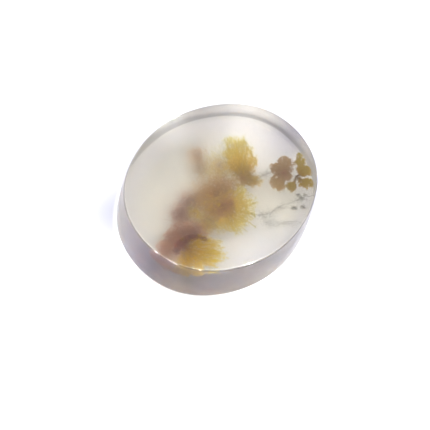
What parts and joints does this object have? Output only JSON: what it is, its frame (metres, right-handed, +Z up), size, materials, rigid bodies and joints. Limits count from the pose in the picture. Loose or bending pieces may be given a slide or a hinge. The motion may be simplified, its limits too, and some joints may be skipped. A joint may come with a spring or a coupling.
{
  "type": "dendritic agate cabochon",
  "caption": "Oval cut and polished agate with a low domed face, slightly leaning walls and a flat base, for a ring, a pendant or a collection.",
  "frame": {"origin": "centre of the flat base", "axes": "+X along the length, +Y along the width, +Z up through the domed face"},
  "size_m": [0.02, 0.017, 0.0052],
  "materials": {
    "agate": "polished"
  },
  "bodies": {
    "root": {"agate_stone": "agate"}
  },
  "joints": []
}
